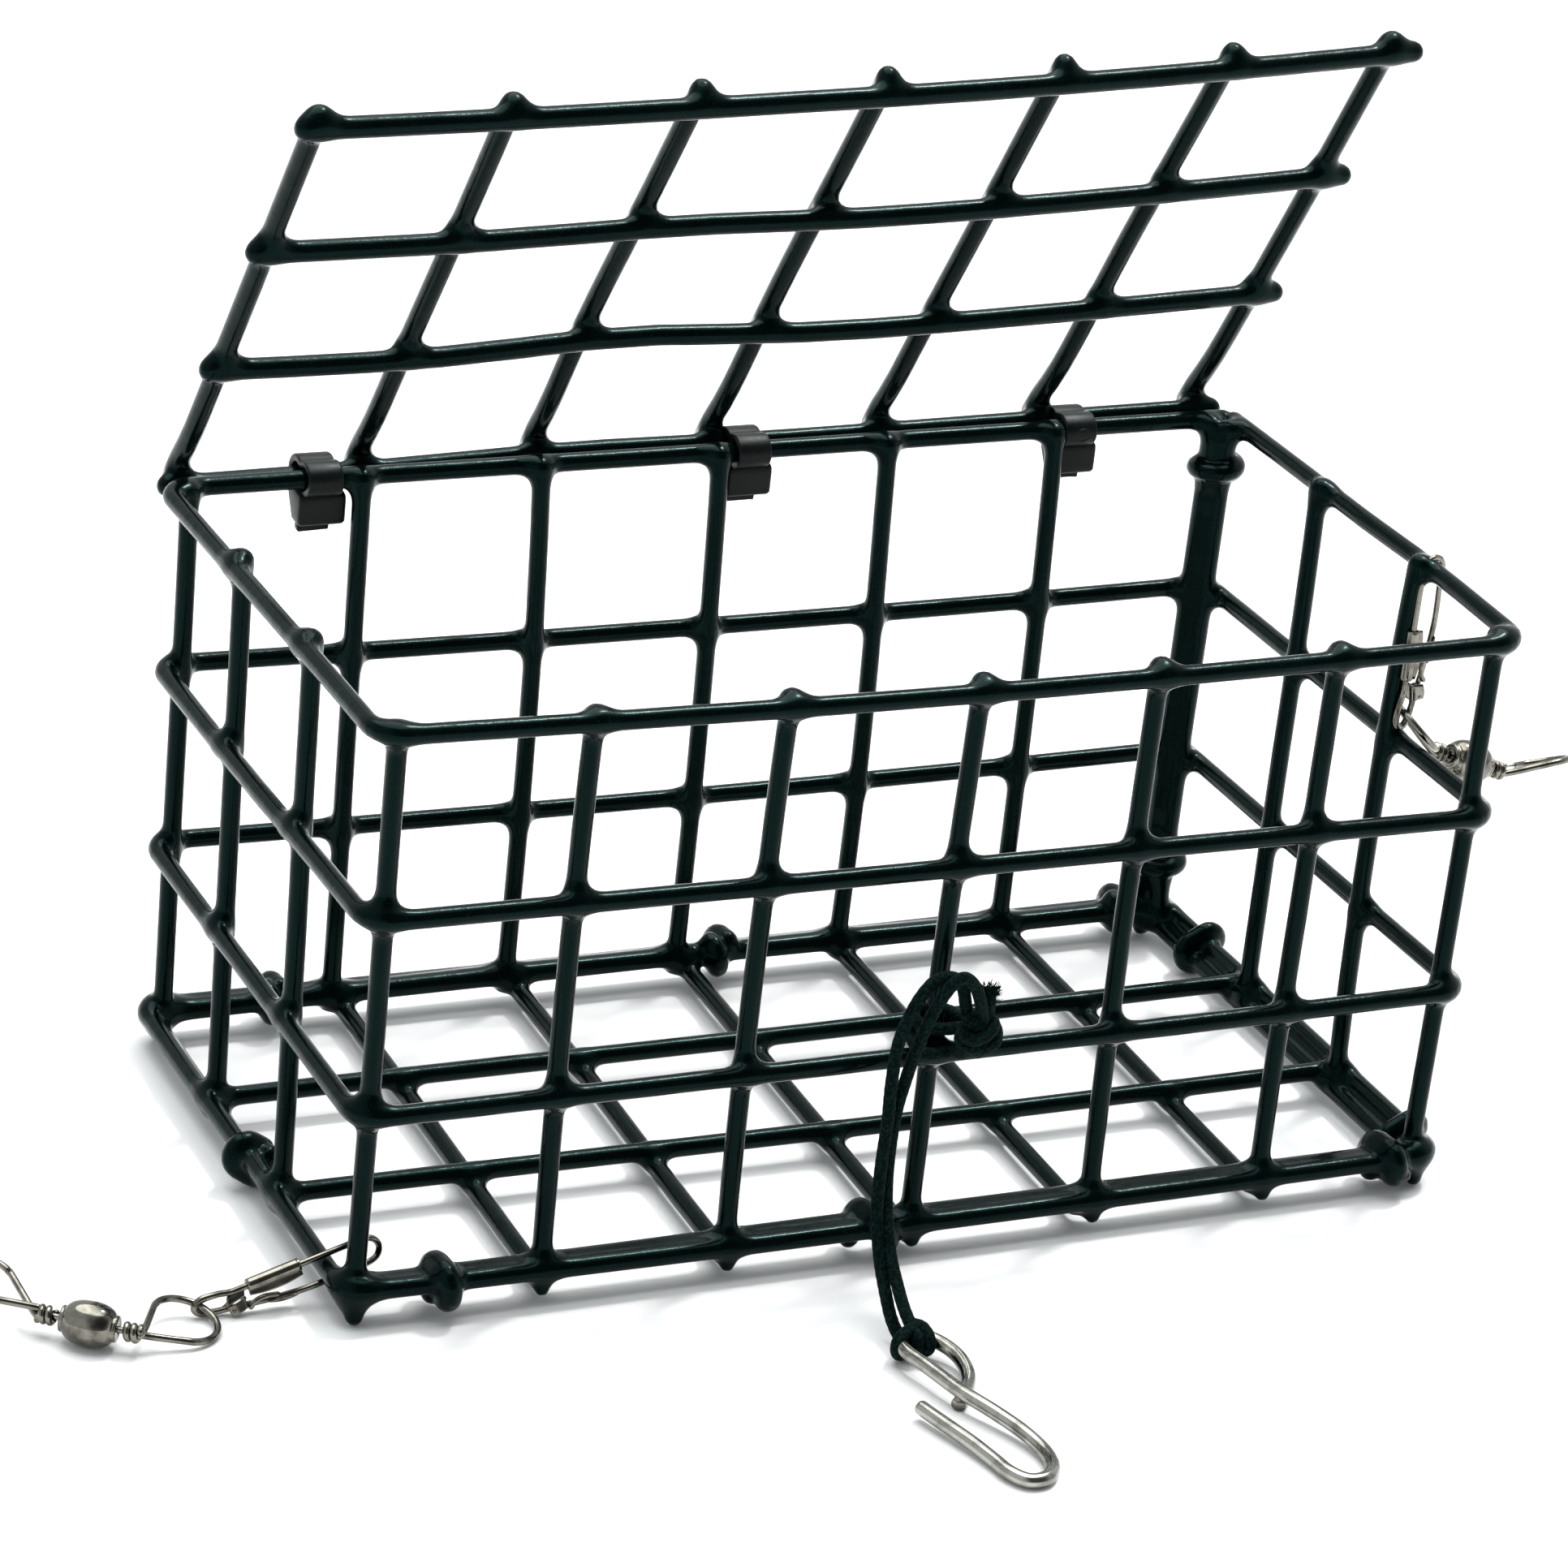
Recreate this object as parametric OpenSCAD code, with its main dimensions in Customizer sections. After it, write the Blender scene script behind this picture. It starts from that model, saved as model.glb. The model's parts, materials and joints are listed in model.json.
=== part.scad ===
// Small rectangular crab trap of vinyl-dipped wire: a walled cage with a floor panel, a lid that opens
// on cable ties, an elastic closing cord with a hook, and two line swivels with snaps.
// Frame: X along the cage, Y from front to rear, Z up. The origin is the middle of the base.

/* [Cage] */
// Diameter of the dipped wall and floor wire
wire_d = 2.6; // [2.2:0.1:2.7]
// Gap left between wires that touch
touch = 0.02; // [0.01:0.01:0.05]
// Half the distance between the mid-planes of the end walls
half_x = 76.6; // [76.2:0.1:77]
// Half the distance between the mid-planes of the front and rear walls
half_y = 38.5; // [38.3:0.1:38.8]
// Spacing of the uprights along the cage
pitch_x = 25.4; // [25:0.1:25.6]
// Height of the bottom hoop's centre
base_z = 4.4; // [4.4:0.1:4.6]
// Spacing of the hoops
pitch_z = 24.8; // [24.6:0.1:25]
// Centre-line radius of a hoop's corners
corner_r = 4; // [3:0.5:5]
// How far the front and side uprights stand above the top hoop's top; the rear ones end level with it
stub = 1.1; // [0.6:0.1:1.1]

/* [Lid] */
// Diameter of the dipped lid wire
lid_d = 2.8; // [2.6:0.1:2.8]
// Spacing of the lid's wires
lid_pitch = 24.8; // [24.6:0.1:24.9]
// Angle of the lid above closed
lid_angle = 57; // [10:0.5:150]
// Place of the lid's hinge wire behind the rear top hoop
hinge_back = 2.8; // [2.8:0.1:3]
// Height of the hinge wire's centre above that of the rear top hoop
hinge_up = -0.4; // [-0.5:0.1:0.9]

/* [Ties and clips] */
// Width of a cable tie's band
tie_w = 4.8; // [3.6:0.2:4.8]
// Thickness of a cable tie's band
tie_t = 1.2; // [1:0.1:1.3]
// Wire diameter of the clips that join the floor panel to the walls
clip_d = 1; // [0.8:0.1:1]

/* [Swivels] */
// Wire diameter of snaps and eyes
swivel_d = 0.76; // [0.7:0.02:0.78]
// Length of a barrel
barrel_l = 7.2; // [7:0.1:7.4]
// Largest diameter of a barrel
barrel_d = 5.6; // [5:0.1:5.6]
// Radius of an eye's round end
eye_r = 4.1; // [3.9:0.1:4.3]

/* [Hook and cord] */
// Wire diameter of the hook
hook_d = 1.3; // [1.1:0.1:1.3]
// Diameter of the elastic cord
cord_d = 1.7; // [1.4:0.1:1.8]

/* [Hidden] */
$fn = 48;
r = wire_d / 2;
rl = lid_d / 2;
rs = swivel_d / 2;
side = (wire_d + touch) / 2;
hoop_x = half_x + side;
hoop_y = half_y + side;
up_x = half_x - side;
up_y = half_y - side;
top_z = base_z + 3 * pitch_z;
hoop_top = top_z + r;
rear_y = 30;
stub_z = 1;
long_z = 5.1;
cross_z = long_z - wire_d - touch;
edge_y = up_y - wire_d - touch;
edge_x = up_x - wire_d - touch;

// uprights: [x, y, lowest z]; the four at the corners are the feet
inner_x = [for (i = [-2:2]) i * pitch_x];
UPRIGHTS = concat(
    [for (x = inner_x) [x, -up_y, stub_z]],
    [for (x = inner_x) [x, up_y, stub_z]],
    [for (y = [-12, 13.4]) [-up_x, y, stub_z]],
    [for (y = [-12.7, 12.7]) [up_x, y, stub_z]],
    [[-up_x + 0.4, -up_y + 0.4, 0], [up_x - 0.4, -up_y + 0.4, 0], [-up_x + 0.4, up_y - 0.4, 0]],
    [[73.6, up_y, 0], [up_x, 34.6, stub_z]]);

// floor panel: lengthwise wires lie on the cross wires
FLOOR_Y = [-edge_y, -14.1, 11.3, edge_y];
FLOOR_X = concat([-edge_x], inner_x, [edge_x]);

// lid: lengthwise wires on the inner face, cross wires on the outer face
hinge_y = hoop_y + hinge_back;
hinge_z = top_z + hinge_up;
LID_S = [for (i = [0:3]) i * lid_pitch];
LID_X = [for (i = [0:6]) -74.6 + i * lid_pitch];
TIE_X = [-56.6, 4.6, 54.6];

// swivels: barrel centre, direction from the barrel to the snap, and the eyes' far points
LEFT = [[-107.5, -35.2, 2.85], [0.8, -0.6, 0], [-92.4, -32.6, 1.48], [-118.2, -21.1, 3.9], [1, 0.55, 0]];
RIGHT = [[91.2, -11.5, 48.2], [-0.93, -0.06, 0.36], [76.8, -16.3, 58.6], [108.6, -8.2, 45.5],
    [-0.23, 0.84, -0.49]];
eye_foot = 6.1;

// snap outline, along its straight leg (first number) and across it (second number)
SNAP = [[-5.04, -0.05], [-4, 0.6], [-1.9, 0.45], [0, 0], [3, 0], [6, 0], [9, 0], [12, 0], [15, 0],
    [17.2, 0], [18.5, -0.55], [19, -1.8], [18.5, -3.05], [17.2, -3.58], [15, -3.55], [11, -3.72],
    [8, -3.6], [4, -3.05], [0, -2.3], [-3.5, -1.6], [-4.8, -0.95]];

// hook: from its free end round the bend, up the shank, round the eye and under the shank
HOOK = [[-16.2, -76.3, 1.4], [-14.8, -80.5, 1.2], [-13.3, -84.9, 1], [-12.2, -89, 0.8], [-11.6, -91.8, 0.75],
    [-10.1, -94, 0.7], [-7.6, -94, 0.7], [-5.8, -91.8, 0.75], [-5.4, -88.5, 0.9], [-6.1, -84.5, 1.2],
    [-7.4, -79.8, 1.6], [-9.3, -74.5, 2.2], [-11, -69.5, 2.7], [-12.4, -65.3, 3.1], [-12.2, -62.2, 3.2],
    [-10.2, -60.7, 3.2], [-7.6, -60.9, 3], [-5.6, -62.7, 2.6], [-5, -65.7, 2], [-5.9, -69, 1.3],
    [-7.7, -72.4, 0.8], [-10.6, -76.1, 0.7]];

// elastic cord: from the upper knot over the arch and down, round the hook's eye and back beside itself
CORD = [[3.1, -45.2, 36], [2.2, -45.7, 38.9], [0.9, -46.1, 41.5], [-0.9, -46.3, 43], [-2.6, -46.2, 41.9],
    [-4.1, -45.8, 38.8], [-5.7, -45.5, 34], [-6.9, -45.5, 28.8], [-7.8, -45.8, 24.5], [-8.3, -46.4, 18],
    [-8.1, -48.2, 12.5], [-8.2, -52, 8.4], [-8.6, -56, 6.4], [-8.9, -59.2, 5.6], [-9.2, -61.8, 5],
    [-9.7, -63.1, 3.2], [-9.9, -62, 1.3], [-10.2, -59.6, 1.2], [-10.4, -57.2, 2.8], [-10.4, -54.6, 5],
    [-10.2, -51.4, 7.4], [-10, -47.8, 11.6], [-10.1, -46.2, 17.4], [-9.8, -45.8, 24.2], [-9.4, -45.6, 29.4],
    [-8.4, -45.4, 34.5], [-6.6, -45, 39], [-4.4, -44.5, 41.6], [-2.4, -44.2, 42.2], [-0.4, -43.9, 41.5],
    [0.6, -43.8, 39.9], [1.3, -43.6, 37.6], [2.1, -43.4, 34.9]];
knot = [3.5, -44, 33];
knot_r = 3.3;
wrap_x = 3.1;

// ---- vectors, smooth paths and swept wire ----
function unit(v) = v / norm(v);
function mid4(a, b, c, d, t) = 0.5 * (2 * b + (c - a) * t + (2 * a - 5 * b + 4 * c - d) * t * t
    + (3 * b - a - 3 * c + d) * t * t * t);

// a smooth path through the points of p, with n steps between two of them
function smooth(p, n) = concat(
    [for (i = [0:len(p) - 2], k = [0:n - 1])
        mid4(p[max(i - 1, 0)], p[i], p[i + 1], p[min(i + 2, len(p) - 1)], k / n)],
    [p[len(p) - 1]]);
function smooth_loop(p, n) = let (m = len(p))
    [for (i = [0:m - 1], k = [0:n - 1]) mid4(p[(i + m - 1) % m], p[i], p[(i + 1) % m], p[(i + 2) % m], k / n)];

// rings of n points round a path; up is never along the path
function rings(p, rad, n, up, loop) = let (m = len(p))
    [for (i = [0:m - 1])
        let (a = loop ? p[(i + m - 1) % m] : p[max(i - 1, 0)],
            b = loop ? p[(i + 1) % m] : p[min(i + 1, m - 1)],
            t = unit(b - a), s = unit(cross(up, t)), w = cross(t, s))
        for (k = [0:n - 1]) p[i] + rad * (cos(360 * k / n) * s + sin(360 * k / n) * w)];

module tube(p, d, up, n = 8, loop = false) {
    m = len(p);
    last = loop ? m - 1 : m - 2;
    sides = [for (i = [0:last], k = [0:n - 1])
        let (a = i * n + k, b = ((i + 1) % m) * n + k,
            c = ((i + 1) % m) * n + (k + 1) % n, e = i * n + (k + 1) % n)
        each [[a, b, c], [a, c, e]]];
    ends = loop ? [] : [[for (k = [0:n - 1]) k], [for (k = [n - 1:-1:0]) (m - 1) * n + k]];
    polyhedron(rings(p, d / 2, n, up, loop), concat(sides, ends));
}

// turns +Z to the direction d and moves to p
module along(p, d) {
    u = unit(d);
    translate(p) rotate([0, acos(u[2]), atan2(u[1], u[0])]) children();
}

// ---- cage ----
module rod(d, a, b) {
    along(a, b - a) cylinder(d = d, h = norm(b - a));
}

// one quarter of a hoop's corner, turned to its place
module bend(x, y, turn) {
    translate([x, y, 0]) rotate([0, 0, turn]) rotate_extrude(angle = 90) translate([corner_r, 0]) circle(d = wire_d);
}

// a hoop is open at the rear right corner, where the wall sheet's ends meet
module hoop(i) {
    cx = hoop_x - corner_r;
    cy = hoop_y - corner_r;
    color("#101513") translate([0, 0, base_z + (i - 1) * pitch_z]) {
        rod(wire_d, [-cx, -hoop_y, 0], [cx, -hoop_y, 0]);
        rod(wire_d, [-hoop_x, -cy, 0], [-hoop_x, cy, 0]);
        rod(wire_d, [-cx, hoop_y, 0], [76.2, hoop_y, 0]);
        rod(wire_d, [hoop_x, -cy, 0], [hoop_x, 38.3, 0]);
        bend(-cx, -cy, 180);
        bend(cx, -cy, 270);
        bend(-cx, cy, 90);
    }
}

module upright(i) {
    p = UPRIGHTS[i - 1];
    top = p[1] > rear_y ? hoop_top : hoop_top + stub;
    color("#101513") translate(p) cylinder(d = wire_d, h = top - p[2]);
}

module floor_long(i) {
    color("#101513") rod(wire_d, [-edge_x - 1.2, FLOOR_Y[i - 1], long_z], [edge_x + 1.2, FLOOR_Y[i - 1], long_z]);
}

module floor_cross(i) {
    color("#101513") rod(wire_d, [FLOOR_X[i - 1], -edge_y - 1.2, cross_z], [FLOOR_X[i - 1], edge_y + 1.2, cross_z]);
}

// ---- lid ----
module in_lid() {
    translate([0, hinge_y, hinge_z]) rotate([-lid_angle, 0, 0]) children();
}

module lid_long(i) {
    color("#121816") in_lid() rod(lid_d, [-76.4, -LID_S[i - 1], 0], [76.2, -LID_S[i - 1], 0]);
}

module lid_cross(i) {
    color("#121816") in_lid() rod(lid_d, [LID_X[i - 1], 1.9, lid_d + touch], [LID_X[i - 1], -77.5, lid_d + touch]);
}

// ---- cable ties ----
// outline of a band that runs round two centres, a distance d apart along the first axis
function stadium(d, rad) = concat(
    [for (a = [-90:15:90]) [d + rad * cos(a), rad * sin(a)]],
    [for (a = [90:15:270]) [rad * cos(a), rad * sin(a)]]);

module tie_band() {
    reach = norm([hinge_back, hinge_up]);
    inner = rl + 0.1;
    difference() {
        linear_extrude(tie_w, center = true) polygon(stadium(reach, inner + tie_t));
        linear_extrude(tie_w + 2, center = true) polygon(stadium(reach, inner));
    }
}

module hinge_tie(x) {
    translate([x, hoop_y, top_z]) rotate([90, 0, 90]) rotate([0, 0, atan2(hinge_up, hinge_back)]) tie_band();
    translate([x - 3.3, up_y + r + 0.1, top_z - 6.3]) cube([6.6, 3.8, 4.5]);
    translate([x - 2.2, up_y + r + 1.2, top_z - 7.4]) cube([4.4, 1.3, 1.3]);
}

module hinge_ties() {
    color("#0c0c0d") for (x = TIE_X) hinge_tie(x);
}

// ---- clips ----
// a closed wire ring round two parallel wires whose centres are a and b; n is the wires' direction
module clip(a, b, n) {
    rad = r + 0.05 + clip_d / 2;
    u = unit(b - a);
    v = cross(n, u);
    path = concat(
        [for (t = [-90:22.5:90]) b + rad * (cos(t) * u + sin(t) * v)],
        [for (t = [90:22.5:270]) a + rad * (cos(t) * u + sin(t) * v)]);
    tube(path, clip_d, n, 8, true);
}

module panel_clips() {
    color("#0f1412") {
        for (x = [-66, -5.5, 70])
            clip([x, -hoop_y, base_z], [x, -edge_y, long_z], [1, 0, 0]);
        for (x = [-59, 6.5, 69])
            clip([x, hoop_y, base_z], [x, edge_y, long_z], [1, 0, 0]);
        clip([-hoop_x, -3, base_z], [-edge_x, -3, cross_z], [0, 1, 0]);
        for (y = [-32.5, 25])
            clip([hoop_x, y, base_z], [edge_x, y, cross_z], [0, 1, 0]);
        for (z = [12, 72.8])
            translate([74.45, 35.88, z]) rotate_extrude() translate([3.45, 0]) circle(d = clip_d);
    }
}

// ---- elastic cord and hook ----
module elastic_cord() {
    color("#0d0f0f") {
        tube(smooth(CORD, 2), cord_d, [0.31, -0.2, 0.93]);
        translate(knot) sphere(r = knot_r);
        translate([wrap_x, -hoop_y, base_z + pitch_z]) rotate([0, 90, 0])
            rotate_extrude() translate([r + 0.08 + cord_d / 2, 0]) circle(d = cord_d);
    }
}

module hook() {
    color("#b9b6ae") tube(smooth(HOOK, 2), hook_d, [0.1, 0.1, 1], 10);
}

// ---- swivels ----
module left_snap_place() {
    translate([-88.6, -32.6, 3.15]) rotate([0, -17.3, 0]) children();
}

module right_snap_place() {
    translate([76.16, -16.07, top_z - 17.2]) rotate([0, -90, 15]) children();
}

module snap_wire() {
    path = [for (q = SNAP) [q[0], 0, q[1]]];
    color("#5f5b54") tube(smooth_loop(path, 2), swivel_d, [0, 1, 0], 8, true);
}

// a rolled sleeve on the straight leg, with a flap that hangs beside the other leg
module snap_plate() {
    color("#57534c") {
        difference() {
            translate([1.9, 0, 0]) rotate([0, 90, 0]) cylinder(r = 0.85, h = 7);
            translate([0.9, 0, 0]) rotate([0, 90, 0]) cylinder(r = rs + 0.1, h = 9);
        }
        translate([2.4, -0.83, -3.2]) cube([6, 0.35, 3]);
    }
}

// an eye of twisted wire: head and stem inside the barrel, two turns, and a round loop to its far point
module eye(c, d, far, across) {
    a = unit(d);
    k = c + eye_foot * a;
    u = unit(far - k);
    v = unit(across - (across * u) * u);
    mid = far - eye_r * u;
    sgn = cross(a, v) * cross(u, v) > 0 ? 1 : -1;
    w = unit(v - (v * a) * a);
    path = concat([k + 0.7 * w, k + 1.6 * u + 0.85 * v],
        [for (t = [140:-20:-140]) mid + eye_r * (cos(t) * u + sin(t) * v)],
        [k + 1.6 * u - 0.85 * v, k - 0.7 * w]);
    color("#66615a") {
        along(c + 1.6 * a, a) cylinder(r = 0.95, h = 0.7);
        along(c + 2 * a, a) cylinder(d = swivel_d, h = eye_foot - 1.8);
        for (t = [4.9, 5.95])
            along(c + t * a, a) rotate_extrude() translate([0.72, 0]) circle(r = rs - 0.02);
        tube(path, swivel_d, cross(u, v));
    }
}

module barrel(c, d) {
    h = barrel_l / 2;
    shell = [for (i = [0:12]) let (z = -h + i * barrel_l / 12) [1.7 + (barrel_d / 2 - 1.7) * sqrt(cos(90 * z / h)), z]];
    color("#6b665e") along(c, d) rotate_extrude() polygon(concat(
        [[rs + 0.1, -h]], shell, [[rs + 0.1, h], [rs + 0.1, 2.6], [1.4, 2.6], [1.4, -2.6], [rs + 0.1, -2.6]]));
}

for (i = [1:4]) hoop(i);
for (i = [1:19]) upright(i);
for (i = [1:4]) floor_long(i);
for (i = [1:7]) floor_cross(i);
for (i = [1:4]) lid_long(i);
for (i = [1:7]) lid_cross(i);
hinge_ties();
panel_clips();
elastic_cord();
hook();
left_snap_place() snap_wire();  // snap_wire_left
left_snap_place() snap_plate();  // snap_plate_left
eye(LEFT[0], LEFT[1], LEFT[2], [0, 1, 0]);  // snap_eye_left
barrel(LEFT[0], LEFT[1]);  // barrel_left
eye(LEFT[0], -LEFT[1], LEFT[3], LEFT[4]);  // line_eye_left
right_snap_place() snap_wire();  // snap_wire_right
right_snap_place() snap_plate();  // snap_plate_right
eye(RIGHT[0], RIGHT[1], RIGHT[2], [0.2, 0.97, 0]);  // snap_eye_right
barrel(RIGHT[0], RIGHT[1]);  // barrel_right
eye(RIGHT[0], -RIGHT[1], RIGHT[3], RIGHT[4]);  // line_eye_right
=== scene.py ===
"""Looks of a small wire crab trap: dipped wire skins, cable ties, elastic cord, hook and swivels.

Shapes are worked out in millimetres in the frame's own axes and turned into metres as meshes are made.
"""

import json
import math

import bpy
import numpy as np
import openvdb
from mathutils import Matrix, Vector


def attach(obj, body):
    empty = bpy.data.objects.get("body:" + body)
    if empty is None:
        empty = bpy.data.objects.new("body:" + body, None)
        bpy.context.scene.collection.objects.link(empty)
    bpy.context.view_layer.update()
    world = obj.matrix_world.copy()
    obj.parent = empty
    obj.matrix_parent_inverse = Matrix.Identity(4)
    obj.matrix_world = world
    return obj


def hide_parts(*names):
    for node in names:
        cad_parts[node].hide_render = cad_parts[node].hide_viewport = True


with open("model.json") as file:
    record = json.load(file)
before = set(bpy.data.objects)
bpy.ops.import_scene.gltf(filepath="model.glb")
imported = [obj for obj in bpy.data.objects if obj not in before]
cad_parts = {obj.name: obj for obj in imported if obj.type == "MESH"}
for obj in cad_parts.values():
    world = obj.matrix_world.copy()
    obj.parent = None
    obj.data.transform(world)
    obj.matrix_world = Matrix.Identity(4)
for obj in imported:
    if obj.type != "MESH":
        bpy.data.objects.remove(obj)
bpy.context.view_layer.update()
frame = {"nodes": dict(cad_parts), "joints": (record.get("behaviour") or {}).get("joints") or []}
MM = 0.001


# ---------------------------------------------------------------- camera

def make_camera():
    yaw, pitch, roll = math.radians(26.9), math.radians(24.35), math.radians(6.49)
    ahead = Vector((math.sin(yaw) * math.cos(pitch), math.cos(yaw) * math.cos(pitch), -math.sin(pitch)))
    level = Vector((math.cos(yaw), -math.sin(yaw), 0))
    over = level.cross(ahead)
    right = level * math.cos(roll) + over * math.sin(roll)
    up = over * math.cos(roll) - level * math.sin(roll)
    data = bpy.data.cameras.new("camera")
    data.lens = 127.3
    data.sensor_width = 36
    data.clip_start = 0.05
    data.clip_end = 30
    camera = bpy.data.objects.new("camera", data)
    bpy.context.collection.objects.link(camera)
    turn = Matrix((right, up, -ahead)).transposed().to_4x4()
    camera.matrix_world = Matrix.Translation((-0.3003, -0.5817, 0.3437)) @ turn
    bpy.context.scene.camera = camera


make_camera()


# ---------------------------------------------------------------- mesh helpers

def mesh_object(name, points, faces, material, body, slot):
    """A piece from points in mm and a list of faces."""
    mesh = bpy.data.meshes.new(name)
    mesh.from_pydata([tuple(p) for p in np.asarray(points, float) * MM], [], faces)
    mesh.polygons.foreach_set("use_smooth", [True] * len(mesh.polygons))
    mesh.materials.append(material)
    obj = bpy.data.objects.new(name, mesh)
    bpy.context.collection.objects.link(obj)
    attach(obj, body)
    return obj


def spline(points, step, closed=False):
    """A smooth curve through the points, sampled about every step mm."""
    p = np.asarray(points, float)
    n = len(p)
    out = []
    for i in range(n if closed else n - 1):
        if closed:
            a, b, c, d = p[i - 1], p[i], p[(i + 1) % n], p[(i + 2) % n]
        else:
            a, b, c, d = p[max(i - 1, 0)], p[i], p[i + 1], p[min(i + 2, n - 1)]
        k = max(1, int(round(np.linalg.norm(c - b) / step)))
        for j in range(k):
            t = j / k
            out.append(0.5 * (2 * b + (c - a) * t + (2 * a - 5 * b + 4 * c - d) * t * t
                              + (3 * b - a - 3 * c + d) * t ** 3))
    if not closed:
        out.append(p[-1])
    return np.array(out)


def frames(path, closed=False, start=(0.13, 0.21, 0.97)):
    """Tangents and two cross directions that don't twist along the path."""
    t = np.roll(path, -1, 0) - np.roll(path, 1, 0)
    if not closed:
        t[0], t[-1] = path[1] - path[0], path[-1] - path[-2]
    t /= np.linalg.norm(t, axis=1)[:, None]
    side = np.cross(start, t[0])
    side /= np.linalg.norm(side)
    sides = [side]
    for i in range(1, len(path)):
        side = side - t[i] * (side @ t[i])
        side /= np.linalg.norm(side)
        sides.append(side)
    s = np.array(sides)
    if closed:
        # spread the leftover twist round the loop
        end = s[-1] - t[0] * (s[-1] @ t[0])
        end /= np.linalg.norm(end)
        twist = math.atan2(np.cross(end, s[0]) @ t[0], end @ s[0])
        a = np.linspace(0, twist, len(path))[:, None]
        s = s * np.cos(a) + np.cross(t, s) * np.sin(a)
    return t, s, np.cross(t, s)


def tube(path, radius, sides=16, closed=False, round_ends=True, relief=None):
    """Points and faces of a swept wire.

    The radius is a number or one per path point, and relief(angle, length) gives mm to add to it.
    """
    path = np.asarray(path, float)
    r = np.full(len(path), radius, float) if np.isscalar(radius) else np.asarray(radius, float)
    if round_ends and not closed:
        t0, t1 = path[0] - path[1], path[-1] - path[-2]
        t0, t1 = t0 / np.linalg.norm(t0), t1 / np.linalg.norm(t1)
        bend = [math.radians(a) for a in (22, 45, 68, 86)]
        head = [path[0] + t0 * r[0] * math.sin(a) for a in reversed(bend)]
        tail = [path[-1] + t1 * r[-1] * math.sin(a) for a in bend]
        path = np.vstack([head, path, tail])
        first, last = ([end * math.cos(a) for a in bend] for end in (r[0], r[-1]))
        r = np.concatenate([first[::-1], r, last])
    t, s, w = frames(path, closed)
    angle = np.linspace(0, 2 * math.pi, sides, endpoint=False)
    length = np.concatenate([[0], np.cumsum(np.linalg.norm(np.diff(path, axis=0), axis=1))])
    rad = r[:, None] + (relief(angle[None, :], length[:, None]) if relief else 0)
    points = path[:, None] + rad[..., None] * (np.cos(angle)[None, :, None] * s[:, None]
                                               + np.sin(angle)[None, :, None] * w[:, None])
    n = len(path)
    faces = []
    for i in range(n if closed else n - 1):
        j = (i + 1) % n
        for k in range(sides):
            m = (k + 1) % sides
            faces.append((i * sides + k, i * sides + m, j * sides + m, j * sides + k))
    if not closed:
        faces.append(tuple(range(sides - 1, -1, -1)))
        faces.append(tuple((n - 1) * sides + k for k in range(sides)))
    return points.reshape(-1, 3), faces


def join(*parts):
    """One set of points and faces from several."""
    points, faces, base = [], [], 0
    for p, f in parts:
        points.append(np.asarray(p, float))
        faces += [tuple(i + base for i in face) for face in f]
        base += len(p)
    return np.vstack(points), faces


def sweep(path, section, axis):
    """Carries a closed section along a flat path, whose plane has the given normal as its axis.

    Section points are (along axis, away from the path).
    """
    path, axis = np.asarray(path, float), np.asarray(axis, float)
    t = np.gradient(path, axis=0)
    t /= np.linalg.norm(t, axis=1)[:, None]
    out = np.cross(t, axis)
    sec = np.asarray(section, float)
    points = path[:, None] + sec[None, :, :1] * axis + sec[None, :, 1:] * out[:, None]
    return loft(points)


def loft(rings, closed=False):
    """A solid skin over rings of equally many points, with flat ends unless it is closed."""
    n, k = len(rings), len(rings[0])
    faces = []
    for i in range(n if closed else n - 1):
        j = (i + 1) % n
        for m in range(k):
            o = (m + 1) % k
            faces.append((i * k + m, i * k + o, j * k + o, j * k + m))
    if not closed:
        faces.append(tuple(range(k - 1, -1, -1)))
        faces.append(tuple((n - 1) * k + m for m in range(k)))
    return np.asarray(rings, float).reshape(-1, 3), faces


def rounded_box(x0, x1, y0, y1, corner, steps=4):
    """Outline of a rectangle with round corners."""
    corner = min(corner, (x1 - x0) / 2 - 0.01, (y1 - y0) / 2 - 0.01)
    spots = ((x1 - corner, y0 + corner, -90), (x1 - corner, y1 - corner, 0),
             (x0 + corner, y1 - corner, 90), (x0 + corner, y0 + corner, 180))
    return [(x + corner * math.cos(math.radians(a + 90 * i / steps)),
             y + corner * math.sin(math.radians(a + 90 * i / steps)))
            for x, y, a in spots for i in range(steps + 1)]


def plate(grid, thick):
    """Sheet metal along a grid of points, thinner at its rim so that the edge looks rounded."""
    grid = np.asarray(grid, float)
    du, dv = np.gradient(grid, axis=0), np.gradient(grid, axis=1)
    normal = np.cross(du, dv)
    normal /= np.maximum(np.linalg.norm(normal, axis=2), 1e-9)[..., None]
    half = np.full(grid.shape[:2], thick / 2)
    half[[0, -1]] *= 0.45
    half[:, [0, -1]] *= 0.45
    n, m = half.shape
    points = np.vstack([(grid + normal * half[..., None]).reshape(-1, 3),
                        (grid - normal * half[..., None]).reshape(-1, 3)])
    faces = []
    for i in range(n - 1):
        for j in range(m - 1):
            a, b, c, d = i * m + j, i * m + j + 1, (i + 1) * m + j + 1, (i + 1) * m + j
            faces.append((a, d, c, b))
            faces.append((a + n * m, b + n * m, c + n * m, d + n * m))
    rim = [j for j in range(m)] + [i * m + m - 1 for i in range(1, n)]
    rim += [(n - 1) * m + j for j in range(m - 2, -1, -1)] + [i * m for i in range(n - 2, 0, -1)]
    for a, b in zip(rim, rim[1:] + rim[:1]):
        faces.append((a, b, b + n * m, a + n * m))
    return points, faces


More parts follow.
